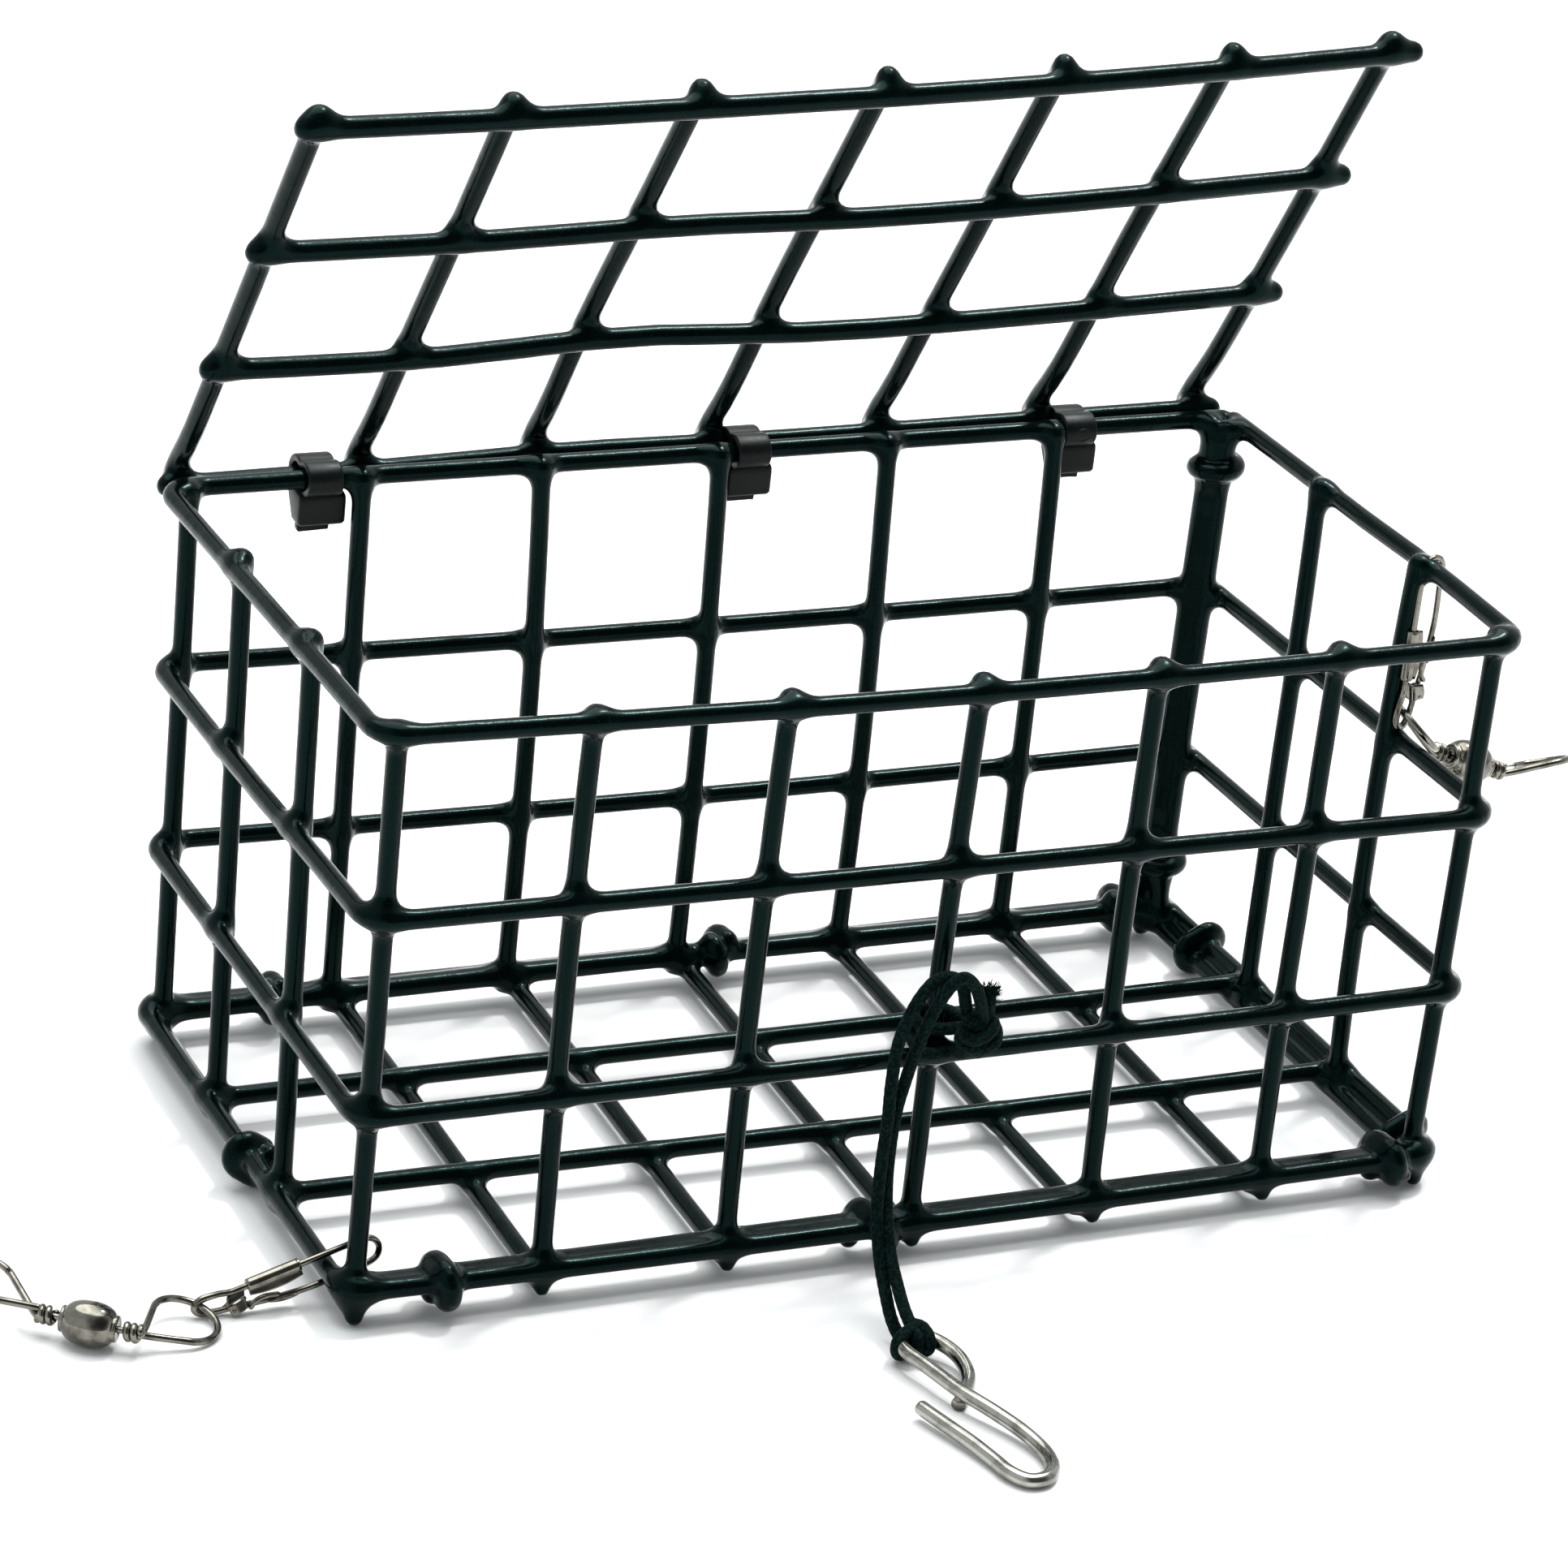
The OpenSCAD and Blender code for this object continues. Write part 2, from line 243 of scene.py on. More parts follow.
def placed(part, matrix):
    """The same part after a move given by a 4 x 4 matrix in mm."""
    turn = np.array(matrix.to_3x3())
    return np.asarray(part[0], float) @ turn.T + np.array(matrix.translation), part[1]


def steps_in(count, edge=0.04):
    """Numbers from 0 to 1 with one close to each end, for a rounded rim."""
    return np.concatenate([[0, edge], np.linspace(0, 1, count)[1:-1], [1 - edge, 1]])


# ---------------------------------------------------------------- materials

class Nodes:
    """Short names for building a material's node tree."""

    def __init__(self, name):
        self.material = bpy.data.materials.new(name)
        self.material.use_nodes = True
        self.tree = self.material.node_tree
        self.shader = self.tree.nodes["Principled BSDF"]

    def add(self, kind, **values):
        node = self.tree.nodes.new(kind)
        for key, value in values.items():
            if key in node.inputs:
                node.inputs[key].default_value = value
            else:
                setattr(node, key, value)
        return node

    def link(self, a, out, b, into):
        self.tree.links.new(a.outputs[out], b.inputs[into])

    def noise(self, place, scale, detail=3.0):
        node = self.add("ShaderNodeTexNoise", Scale=scale, Detail=detail)
        self.link(place, "Object", node, "Vector")
        return node

    def ramp(self, source, out, stops):
        node = self.add("ShaderNodeValToRGB")
        node.color_ramp.elements[0].position = stops[0][0]
        node.color_ramp.elements[0].color = stops[0][1]
        node.color_ramp.elements[1].position = stops[-1][0]
        node.color_ramp.elements[1].color = stops[-1][1]
        for place, colour in stops[1:-1]:
            node.color_ramp.elements.new(place).color = colour
        self.link(source, out, node, "Fac")
        return node

    def map(self, source, out, low, high):
        node = self.add("ShaderNodeMapRange")
        node.inputs["To Min"].default_value = low
        node.inputs["To Max"].default_value = high
        self.link(source, out, node, "Value")
        return node


def grey(v):
    return (v, v, v, 1)


def vinyl_material():
    """Thick glossy vinyl dip: very dark green-black, faintly uneven, with fine specks."""
    n = Nodes("vinyl_dip")
    place = n.add("ShaderNodeTexCoord")
    tone = n.ramp(n.noise(place, 110, 4), "Fac",
                  [(0.3, (0.0002, 0.0012, 0.0011, 1)), (0.7, (0.0005, 0.0024, 0.0022, 1))])
    specks = n.ramp(n.noise(place, 5200, 2), "Fac", [(0.62, grey(0)), (0.8, grey(1))])
    mixed = n.add("ShaderNodeMixRGB")
    mixed.inputs["Color2"].default_value = (0.007, 0.015, 0.014, 1)
    n.link(tone, "Color", mixed, "Color1")
    n.link(specks, "Color", mixed, "Fac")
    n.link(mixed, "Color", n.shader, "Base Color")
    n.link(n.map(n.noise(place, 420, 3), "Fac", 0.12, 0.26), "Result", n.shader, "Roughness")
    low = n.add("ShaderNodeBump", Strength=0.2, Distance=0.0004)
    n.link(n.noise(place, 330, 2), "Fac", low, "Height")
    high = n.add("ShaderNodeBump", Strength=0.12, Distance=0.00008)
    n.link(n.noise(place, 2600, 2), "Fac", high, "Height")
    n.link(low, "Normal", high, "Normal")
    n.link(high, "Normal", n.shader, "Normal")
    n.shader.inputs["Specular IOR Level"].default_value = 0.16
    n.shader.inputs["Specular Tint"].default_value = (0.2, 0.52, 0.48, 1)
    n.shader.inputs["Sheen Weight"].default_value = 0.02
    n.shader.inputs["Sheen Tint"].default_value = (0.1, 1, 0.85, 1)
    n.shader.inputs["Sheen Roughness"].default_value = 0.35
    return n.material


def metal_material(name, dark, light, rough):
    """Plated or drawn wire: uneven tone, fine scratches and dull patches."""
    n = Nodes(name)
    place = n.add("ShaderNodeTexCoord")
    tone = n.ramp(n.noise(place, 420, 4), "Fac", [(0.3, dark), (0.55, light)])
    n.link(tone, "Color", n.shader, "Base Color")
    n.shader.inputs["Metallic"].default_value = 1
    n.link(n.map(n.noise(place, 1500, 4), "Fac", rough[0], rough[1]), "Result", n.shader, "Roughness")
    stretch = n.add("ShaderNodeMapping")
    stretch.inputs["Scale"].default_value = (1, 1, 9)
    n.link(place, "Object", stretch, "Vector")
    scratch = n.add("ShaderNodeTexNoise", Scale=1800, Detail=3)
    n.link(stretch, "Vector", scratch, "Vector")
    bump = n.add("ShaderNodeBump", Strength=0.05, Distance=0.00003)
    n.link(scratch, "Fac", bump, "Height")
    n.link(bump, "Normal", n.shader, "Normal")
    return n.material


def nylon_material():
    """Satin black nylon with a faint moulded grain."""
    n = Nodes("black_nylon")
    place = n.add("ShaderNodeTexCoord")
    tone = n.ramp(n.noise(place, 300, 3), "Fac",
                  [(0.3, (0.0008, 0.002, 0.002, 1)), (0.7, (0.002, 0.0045, 0.0042, 1))])
    n.link(tone, "Color", n.shader, "Base Color")
    n.link(n.map(n.noise(place, 900, 3), "Fac", 0.3, 0.45), "Result", n.shader, "Roughness")
    n.shader.inputs["Specular IOR Level"].default_value = 0.16
    bump = n.add("ShaderNodeBump", Strength=0.25, Distance=0.00006)
    n.link(n.noise(place, 3500, 2), "Fac", bump, "Height")
    n.link(bump, "Normal", n.shader, "Normal")
    return n.material


def braid_material():
    """Black braided textile over elastic: matt, slightly green, with a soft sheen."""
    n = Nodes("braided_elastic")
    place = n.add("ShaderNodeTexCoord")
    tone = n.ramp(n.noise(place, 2400, 3), "Fac",
                  [(0.42, (0.0002, 0.0012, 0.0011, 1)), (0.8, (0.007, 0.018, 0.016, 1))])
    n.link(tone, "Color", n.shader, "Base Color")
    n.shader.inputs["Roughness"].default_value = 0.75
    n.shader.inputs["Specular IOR Level"].default_value = 0.08
    n.shader.inputs["Specular Tint"].default_value = (0.35, 1, 0.9, 1)
    n.shader.inputs["Sheen Tint"].default_value = (0.3, 1, 0.9, 1)
    n.shader.inputs["Sheen Weight"].default_value = 0.015
    n.shader.inputs["Sheen Roughness"].default_value = 0.4
    bump = n.add("ShaderNodeBump", Strength=0.5, Distance=0.0001)
    n.link(n.noise(place, 5200, 2), "Fac", bump, "Height")
    n.link(bump, "Normal", n.shader, "Normal")
    return n.material


VINYL = vinyl_material()
NYLON = nylon_material()
BRAID = braid_material()
NICKEL = metal_material("black_nickel", (0.06, 0.056, 0.046, 1), (0.21, 0.2, 0.17, 1), (0.08, 0.18))
STEEL = metal_material("stainless_wire", (0.16, 0.156, 0.135, 1), (0.36, 0.354, 0.325, 1), (0.1, 0.2))


# ---------------------------------------------------------------- elastic cord

CORD_D = 1.6
CORD = [(3.1, -45.2, 36), (2.2, -45.7, 38.9), (0.9, -46.1, 41.5), (-0.9, -46.3, 43), (-2.6, -46.2, 41.9),
        (-4.1, -45.8, 38.8), (-5.7, -45.5, 34), (-6.9, -45.5, 28.8), (-7.8, -45.8, 24.5), (-8.3, -46.4, 18),
        (-8.7, -48.2, 12.5), (-9.5, -52, 8.5), (-10.1, -56, 6.2), (-10.6, -59.3, 4.9), (-10.8, -62, 4),
        (-10.8, -64.2, 3.3), (-10.8, -64, 1.4), (-11.1, -61.4, 1), (-11.5, -58.4, 2.6), (-11.3, -55.4, 4.9),
        (-10.8, -51.8, 7.9), (-10.2, -48.6, 12.3), (-9.8, -47.4, 18), (-9.4, -46.9, 24.2),
        (-9.2, -46.3, 29.4), (-8.4, -45.4, 34.5), (-6.6, -45, 39), (-4.4, -44.5, 41.6), (-2.4, -44.2, 42.2),
        (-0.4, -43.9, 41.5), (0.6, -43.8, 39.9), (1.3, -43.6, 37.6), (2.1, -43.4, 34.9)]
# the knot's turns, the wraps round the cage wire and the hitch on the hook's eye
KNOT_TURNS = (
    [(4.0, -46.1, 35.1), (2.5, -46.6, 34.4), (1.3, -46.6, 34.3), (0.6, -45.5, 34.5), (1.4, -43.8, 34.6),
     (2.9, -43.2, 34.9), (4.3, -43.8, 35.4), (4.7, -45.0, 35.6)],
    [(4.3, -44.9, 35.9), (5.2, -45.1, 34.5), (4.9, -45.7, 33.1), (3.4, -46.1, 32.7), (1.8, -45.8, 32.8),
     (0.8, -44.7, 33.0), (1.5, -43.1, 33.3), (3.1, -42.4, 33.6), (4.4, -43.4, 34.9)],
)
KNOT_ENDS = (
    [(3.1, -45.2, 36.4), (3, -44.9, 34.8), (2.8, -44.4, 33.4), (3.4, -44.8, 31.8), (3.7, -43.6, 30.9),
     (3.4, -42.2, 31.6)],
    [(2.1, -43.4, 35.2), (1.6, -43.6, 33.8), (1, -44.6, 32.6), (1.2, -44.5, 31.5), (1.2, -43, 30.8),
     (1.3, -41.9, 30.4), (0.2, -41.5, 30.1), (-1.4, -41.4, 30), (-2.7, -40.9, 30.3), (-3.1, -39, 31),
     (-2.4, -36.4, 31.5), (0, -35.4, 31.6), (2.3, -36.2, 31.6), (3, -38.5, 31.8), (3.2, -41, 32.5),
     (3.4, -42.6, 33)],
    [(2.6, -42.9, 34), (1.9, -41.4, 33.3), (0.2, -40.2, 32.7), (-1.6, -39.4, 32.9), (-2.4, -37.6, 33.2),
     (-1.2, -35.6, 33.3), (1.2, -35.4, 33.3), (2.7, -37.2, 33.4), (3.1, -39.9, 33.8), (3.4, -42.2, 34.2)],
)
TAIL = [(4.1, -44.2, 34.6), (4, -44.6, 36.6), (3.9, -44.8, 38.4), (3.7, -44.8, 39.7)]
HITCH = (
    [(-10, -61.2, 3.6), (-9.6, -62.8, 4), (-9.4, -64.4, 3.4), (-9.4, -64.6, 2), (-9.7, -63.2, 0.95),
     (-10, -61.2, 1)],
    [(-9.9, -62.4, 3.9), (-11, -62.8, 4), (-12.3, -63.4, 3.9), (-13.4, -64, 3.3), (-13.6, -64.2, 2.2),
     (-12.8, -63.6, 1.1), (-11.4, -62.6, 0.95)],
)


def braid(angle, length):
    """Raised strands that cross on the diagonal."""
    a = np.cos(8 * angle + 5.2 * length)
    b = np.cos(8 * angle - 5.2 * length)
    return 0.05 * np.maximum(a, b) - 0.02


def make_cord():
    path = spline(CORD, 0.14)
    points, faces = tube(path, CORD_D / 2 - 0.01, 40, relief=braid)
    cord = mesh_object("cord", points, faces, BRAID, "cage", "elastic")
    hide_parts("elastic_cord")
    length = float(np.linalg.norm(np.diff(path, axis=0), axis=1).sum())
    return cord, path, length


def make_knots():
    """The overhand knot with its frayed tail, the wraps round the weld and the hitch below."""
    turns = [tube(spline(p, 0.2, True), CORD_D / 2, 28, True, relief=braid) for p in KNOT_TURNS]
    turns += [tube(spline(p, 0.2), CORD_D / 2, 28, relief=braid) for p in KNOT_ENDS]
    turns.append(tube(spline(TAIL, 0.2), CORD_D / 2, 28, relief=braid))
    rng = np.random.default_rng(5)
    end = np.array(TAIL[-1])
    for _ in range(260):
        a, r = rng.uniform(0, 2 * math.pi), 0.8 * math.sqrt(rng.uniform())
        root = end + (r * math.cos(a), r * math.sin(a), -0.3)
        lean = np.array((math.cos(a) * r * 0.7 + 0.1, math.sin(a) * r * 0.6, 1)) + rng.normal(0, 0.22, 3)
        reach = rng.uniform(0.4, 1.25)
        curl = rng.normal(0, 0.28, 3)
        turns.append(tube([root, root + lean * reach * 0.5 + curl * 0.3, root + lean * reach + curl],
                          [0.075, 0.06, 0.035], 6))
    for _ in range(60):
        a, z = rng.uniform(0, 2 * math.pi), rng.uniform(-1.4, 0.2)
        out = np.array((math.cos(a), math.sin(a), rng.uniform(-0.3, 0.9)))
        root = end + (0.75 * math.cos(a), 0.75 * math.sin(a), z)
        end_of_fibre = root + out * rng.uniform(0.4, 0.8) + rng.normal(0, 0.15, 3)
        turns.append(tube([root, root + out * 0.3, end_of_fibre], [0.04, 0.035, 0.025], 5))
    turns.append(tube([(2.4, -44.5, 35.6), (2.9, -44.5, 34), (3.2, -44.2, 32.4)], 1.7, 20))
    knot = mesh_object("cord_knot", *join(*turns), BRAID, "cage", "elastic")
    hitch = [tube(spline(p, 0.2), CORD_D / 2, 28, relief=braid) for p in HITCH]
    return knot, mesh_object("cord_hitch", *join(*hitch), BRAID, "hook", "elastic")


cord, cord_path, cord_length = make_cord()
knot, hitch = make_knots()


# ---------------------------------------------------------------- dipped wire skins

FAR = 4.0


class Field:
    """A distance field on a box of points, in which wires are drawn as groups and blended."""

    def __init__(self, low, high, step):
        self.low = np.array(low, float)
        self.step = step
        self.size = tuple(int(math.ceil((b - a) / step)) + 1 for a, b in zip(low, high))

    def empty(self):
        return np.full(self.size, FAR, np.float32)

    def rod(self, group, a, b, ra, rb=None):
        """Adds a round-ended rod whose radius goes from ra to rb."""
        a, b = np.asarray(a, float), np.asarray(b, float)
        rb = ra if rb is None else rb
        reach = max(ra, rb) + 3.2
        lo = np.floor((np.minimum(a, b) - reach - self.low) / self.step).astype(int).clip(0)
        hi = np.minimum(np.ceil((np.maximum(a, b) + reach - self.low) / self.step).astype(int) + 1, self.size)
        if np.any(hi <= lo):
            return
        x, y, z = (self.low[i] + self.step * np.arange(lo[i], hi[i], dtype=np.float32) for i in range(3))
        x, y, z = x[:, None, None] - a[0], y[None, :, None] - a[1], z[None, None, :] - a[2]
        d = b - a
        t = np.clip((x * d[0] + y * d[1] + z * d[2]) / max(float(d @ d), 1e-9), 0, 1)
        dist = np.sqrt((x - t * d[0]) ** 2 + (y - t * d[1]) ** 2 + (z - t * d[2]) ** 2) - (ra + (rb - ra) * t)
        part = group[lo[0]:hi[0], lo[1]:hi[1], lo[2]:hi[2]]
        np.minimum(part, dist.astype(np.float32), out=part)

    def wire(self, group, path, radius):
        """Adds a wire along a path. The radius is a number or one per point."""
        r = np.full(len(path), radius) if np.isscalar(radius) else radius
        for i in range(len(path) - 1):
            self.rod(group, path[i], path[i + 1], r[i], r[i + 1])

    def sample(self, v, p):
        """Value of the field at points p."""
        q = (p - self.low) / self.step
        i = np.clip(np.floor(q).astype(int), 0, np.array(self.size) - 2)
        f = q - i
        total = 0
        for dx in (0, 1):
            for dy in (0, 1):
                for dz in (0, 1):
                    w = ((f[:, 0] if dx else 1 - f[:, 0]) * (f[:, 1] if dy else 1 - f[:, 1])
                         * (f[:, 2] if dz else 1 - f[:, 2]))
                    total = total + w * v[i[:, 0] + dx, i[:, 1] + dy, i[:, 2] + dz]
        return total

    def slope(self, v, p):
        g = []
        for axis in range(3):
            e = np.zeros(3)
            e[axis] = 0.6 * self.step
            g.append((self.sample(v, p + e) - self.sample(v, p - e)) / (1.2 * self.step))
        return np.stack(g, 1)

    def surface(self, v):
        """Points, normals and quads of the field's zero surface."""
        grid = openvdb.FloatGrid(FAR)
        grid.copyFromArray(v)
        points, quads = grid.convertToQuads(isovalue=0.0)
        p = points.astype(float) * self.step + self.low
        for _ in range(2):
            g = self.slope(v, p)
            p -= g * (self.sample(v, p) / np.maximum((g * g).sum(1), 0.05))[:, None]
        g = self.slope(v, p)
        g /= np.linalg.norm(g, axis=1)[:, None]
        a, b, c = p[quads[:, 0]], p[quads[:, 1]], p[quads[:, 2]]
        if np.mean((np.cross(b - a, c - a) * g[quads[:, 0]]).sum(1) > 0) < 0.5:
            quads = quads[:, ::-1]
        return p, g, quads


def blend(a, b, k):
    """Union of two fields with a fillet of about k mm."""
    h = np.clip(k - np.abs(a - b), 0, None)
    return np.minimum(a, b) - h * h / (4 * k)


def skin_object(name, p, normals, quads, body, to_frame=None):
    """A piece of dipped skin whose shading follows the field."""
    used, index = np.unique(quads, return_inverse=True)
    p, normals, quads = p[used], normals[used], index.reshape(quads.shape)
    if to_frame is not None:
        turn = np.array(to_frame.to_3x3())
        p = p @ turn.T + np.array(to_frame.translation)
        normals = normals @ turn.T
    mesh = bpy.data.meshes.new(name)
    mesh.vertices.add(len(p))
    mesh.vertices.foreach_set("co", (p * MM).ravel())
    mesh.loops.add(quads.size)
    mesh.loops.foreach_set("vertex_index", quads.ravel().astype(np.int32))
    mesh.polygons.add(len(quads))
    mesh.polygons.foreach_set("loop_start", np.arange(0, quads.size, 4, dtype=np.int32))
    mesh.polygons.foreach_set("use_smooth", [True] * len(quads))
    mesh.update(calc_edges=True)
    mesh.validate()
    mesh.normals_split_custom_set_from_vertices(normals)
    mesh.materials.append(VINYL)
    obj = bpy.data.objects.new(name, mesh)
    bpy.context.collection.objects.link(obj)
    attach(obj, body)
    return obj


def wavy(a, b, seed, sway=0.12, steps=8):
    """A nearly straight wire: a path from a to b that wanders a little."""
    rng = np.random.default_rng(seed)
    a, b = np.asarray(a, float), np.asarray(b, float)
    t = np.linspace(0, 1, steps + 1)
    path = a + (b - a) * t[:, None]
    for wave in (1, 2, 3):
        path += (rng.normal(0, sway / wave, 3) * np.sin(math.pi * wave * t)[:, None])
    return path


# ---- cage ----

WIRE_R = 1.27
HOOP_X, HOOP_Y = 77.3, 39.3
UP_X, UP_Y = 75.8, 37.7
HOOP_Z = (4.4, 28.7, 54.4, 78.6)
HOOP_LEFT = (76.6, 76.8, 77.4, 77.8)
# how far each hoop's front and rear rise above its height at the left, middle and right
FRONT_RISE = ((0.55, 0, 0.2), (0.2, 0.1, 0.3), (0.8, 0.3, -0.15), (0.8, -0.35, 0.2))
REAR_RISE = ((0, -0.5, -0.3), (0.1, -0.8, -0.3), (-0.2, -0.9, -0.6), (0.1, 0.1, 0.3))
# how far each upright leans from its place at the foot, the middle and the top
FRONT_LEAN = ((0.4, 0.3, 0.6), (0, 0, 0.6), (0.3, 0.4, 1), (0.6, 0.2, 0.3), (0.4, 0.2, 0.4))
REAR_LEAN = ((0.2, -0.2, -0.7), (0.3, 0, -1), (0.3, 0.1, -0.8), (-0.3, -0.5, -1.4), (-0.4, -0.7, -1.5))
# how far the floor's cross wires are from their place at the front and the rear
CROSS_LEAN = ((0.6, 1.8), (0.2, 1.7), (0, 1.8), (-0.8, 0.3), (-0.3, 0.8))
TOP, SIDE_TOP, FLUSH = 80.3, 80.9, 79.95
FLOOR_LONG_Z, FLOOR_CROSS_Z = 4.3, 2.6
EDGE_X, EDGE_Y = UP_X - 0.7, UP_Y - 0.4
INNER_X = [25.4 * i for i in range(-2, 3)]
CORNER_R = 3.6


def through(t, low, middle, high):
    """Value at t, from -1 to 1, of the curve through three values."""
    return middle + (high - low) / 2 * t + (low + high - 2 * middle) / 2 * t * t


def hoop_path(i):
    """An open hoop that starts and ends at the rear right corner."""
    z, seed = HOOP_Z[i], 10 * i
    cx, cy = HOOP_X - CORNER_R, HOOP_Y - CORNER_R
    path = list(wavy((75.9, HOOP_Y, z), (-cx, HOOP_Y, z), seed + 1, 0.07, 12))
    for x, y, turn in ((-cx, cy, 90), (-cx, -cy, 180), (cx, -cy, 270)):
        for a in np.radians(np.linspace(turn + 15, turn + 75, 5)):
            path.append(np.array((x + CORNER_R * math.cos(a), y + CORNER_R * math.sin(a), z)))
        if turn == 90:
            path += list(wavy((-HOOP_X, cy, z), (-HOOP_X, -cy, z), seed + 2, 0.07, 6))
        if turn == 180:
            path += list(wavy((-cx, -HOOP_Y, z), (cx, -HOOP_Y, z), seed + 3, 0.07, 12))
    path += list(wavy((HOOP_X, -cy, z), (HOOP_X, 38.2, z), seed + 4, 0.07, 6))
    p = np.array(path)
    p[:, 0] = np.where(p[:, 0] < 0, p[:, 0] * HOOP_LEFT[i] / HOOP_X, p[:, 0])
    t = np.clip(p[:, 0] / HOOP_X, -1, 1)
    back = (p[:, 1] / HOOP_Y + 1) / 2
    if i == 3:
        # the right snap hangs here, and the wire is pushed out a little
        p[:, 0] += np.where(p[:, 0] > 76, 0.6 * np.exp(-((p[:, 1] + 16) / 9) ** 2), 0)
    p[:, 2] += (1 - back) * through(t, *FRONT_RISE[i]) + back * through(t, *REAR_RISE[i])
    return p


def cage_uprights():
    """Each upright as x and y at the foot, the middle and the top, its lowest z and its top."""
    posts = []
    for x, front, rear in zip(INNER_X, FRONT_LEAN, REAR_LEAN):
        posts.append(([x + d for d in front], [-UP_Y] * 3, 0.9, TOP))
        posts.append(([x + d for d in rear], [UP_Y] * 3, 1.6, FLUSH))
    posts.append(((-75.2, -75.7, -76.2), [-11.9] * 3, 1.6, SIDE_TOP))
    posts.append(((-75.2, -75.7, -76.2), [13.4] * 3, 1.6, SIDE_TOP))
    posts.append(((75.7, 75.7, 75.7), (-14.9, -14.2, -14.9), 1.6, SIDE_TOP))
    posts.append(((75.7, 75.7, 75.7), (10.3, 10.8, 11.3), 1.6, SIDE_TOP))
    posts.append(((-74.6, -74.6, -74.8), [-37.3] * 3, 0, TOP))
    posts.append(((74.65, 74.65, 74.65), [-37.3] * 3, 0, TOP))
    posts.append(((-74.4, -74.7, -75.1), [37.3] * 3, 0, FLUSH))
    posts.append(((73.4, 73.4, 73.4), [37.2] * 3, 0, FLUSH))
    posts.append(((74.9, 74.9, 74.9), [35.4] * 3, 1.6, FLUSH))
    return posts


def post_path(xs, ys, low, top, seed):
    z = np.linspace(low, top, 11)
    t = (z - 45) / 30
    path = np.stack([through(t, *xs), through(t, *ys), z], 1)
    return path + wavy((0, 0, 0), (0, 0, 0), seed, 0.06, 10) * (1, 1, 0)


def clip_path(a, b, n, reach, lead=0.0):
    """A ring round two wires whose centres are a and b. Their direction is n."""
    a, b, n = (np.asarray(v, float) for v in (a, b, n))
    u = (b - a) / np.linalg.norm(b - a)
    v = np.cross(n, u)
    ring = [b + reach * (math.cos(t) * u + math.sin(t) * v) for t in np.radians(np.arange(-90, 91, 22.5))]
    ring += [a + reach * (math.cos(t) * u + math.sin(t) * v) for t in np.radians(np.arange(90, 271, 22.5))]
    ring.append(ring[0])
    return np.array(ring) + n * np.linspace(-lead, lead, len(ring))[:, None]


def draw_clips(f, clips):
    """The dipped wire rings that hold the floor to the walls and close the wall's seam."""
    for x, lead, thick in ((-63.8, 0.5, 1.5), (-5.4, 2.4, 1.3), (70, 1.1, 1.5)):
        f.wire(clips, clip_path((x, -HOOP_Y, 4.4), (x, -EDGE_Y, FLOOR_LONG_Z), (1, 0, 0), 1.95, lead), thick)
    f.rod(clips, (70.6, -40.6, 2.9), (71.6, -41.5, 3.4), 1.1, 0.95)
    for x, lead in ((-59, 0.9), (6.5, 1.3), (69, 0.7)):
        f.wire(clips, clip_path((x, HOOP_Y, 4.2), (x, EDGE_Y, FLOOR_LONG_Z), (1, 0, 0), 1.95, lead), 1.35)
    f.wire(clips, clip_path((-76.6, -3, 4.4), (-EDGE_X, -3, FLOOR_CROSS_Z + 0.75), (0, 1, 0), 1.9, 0.9), 1.35)
    for y, lead in ((-32.5, 1.0), (25, 0.7)):
        ring = clip_path((HOOP_X, y, 4.4), (EDGE_X, y, FLOOR_CROSS_Z + 0.7), (0, 1, 0), 1.9, lead)
        f.wire(clips, ring, 1.25)
    for z in (11.2, 72):
        turn = np.linspace(0, 7.6, 30)
        ring = np.stack([74.3 + 2.8 * np.cos(turn), 36.3 + 2.8 * np.sin(turn), z + 0.24 * turn], 1)
        f.wire(clips, ring, 1.3)
        f.rod(clips, (74.1, 36.4, z - 0.4), (74.2, 36.3, z + 4.6), 2.1, 1.7)


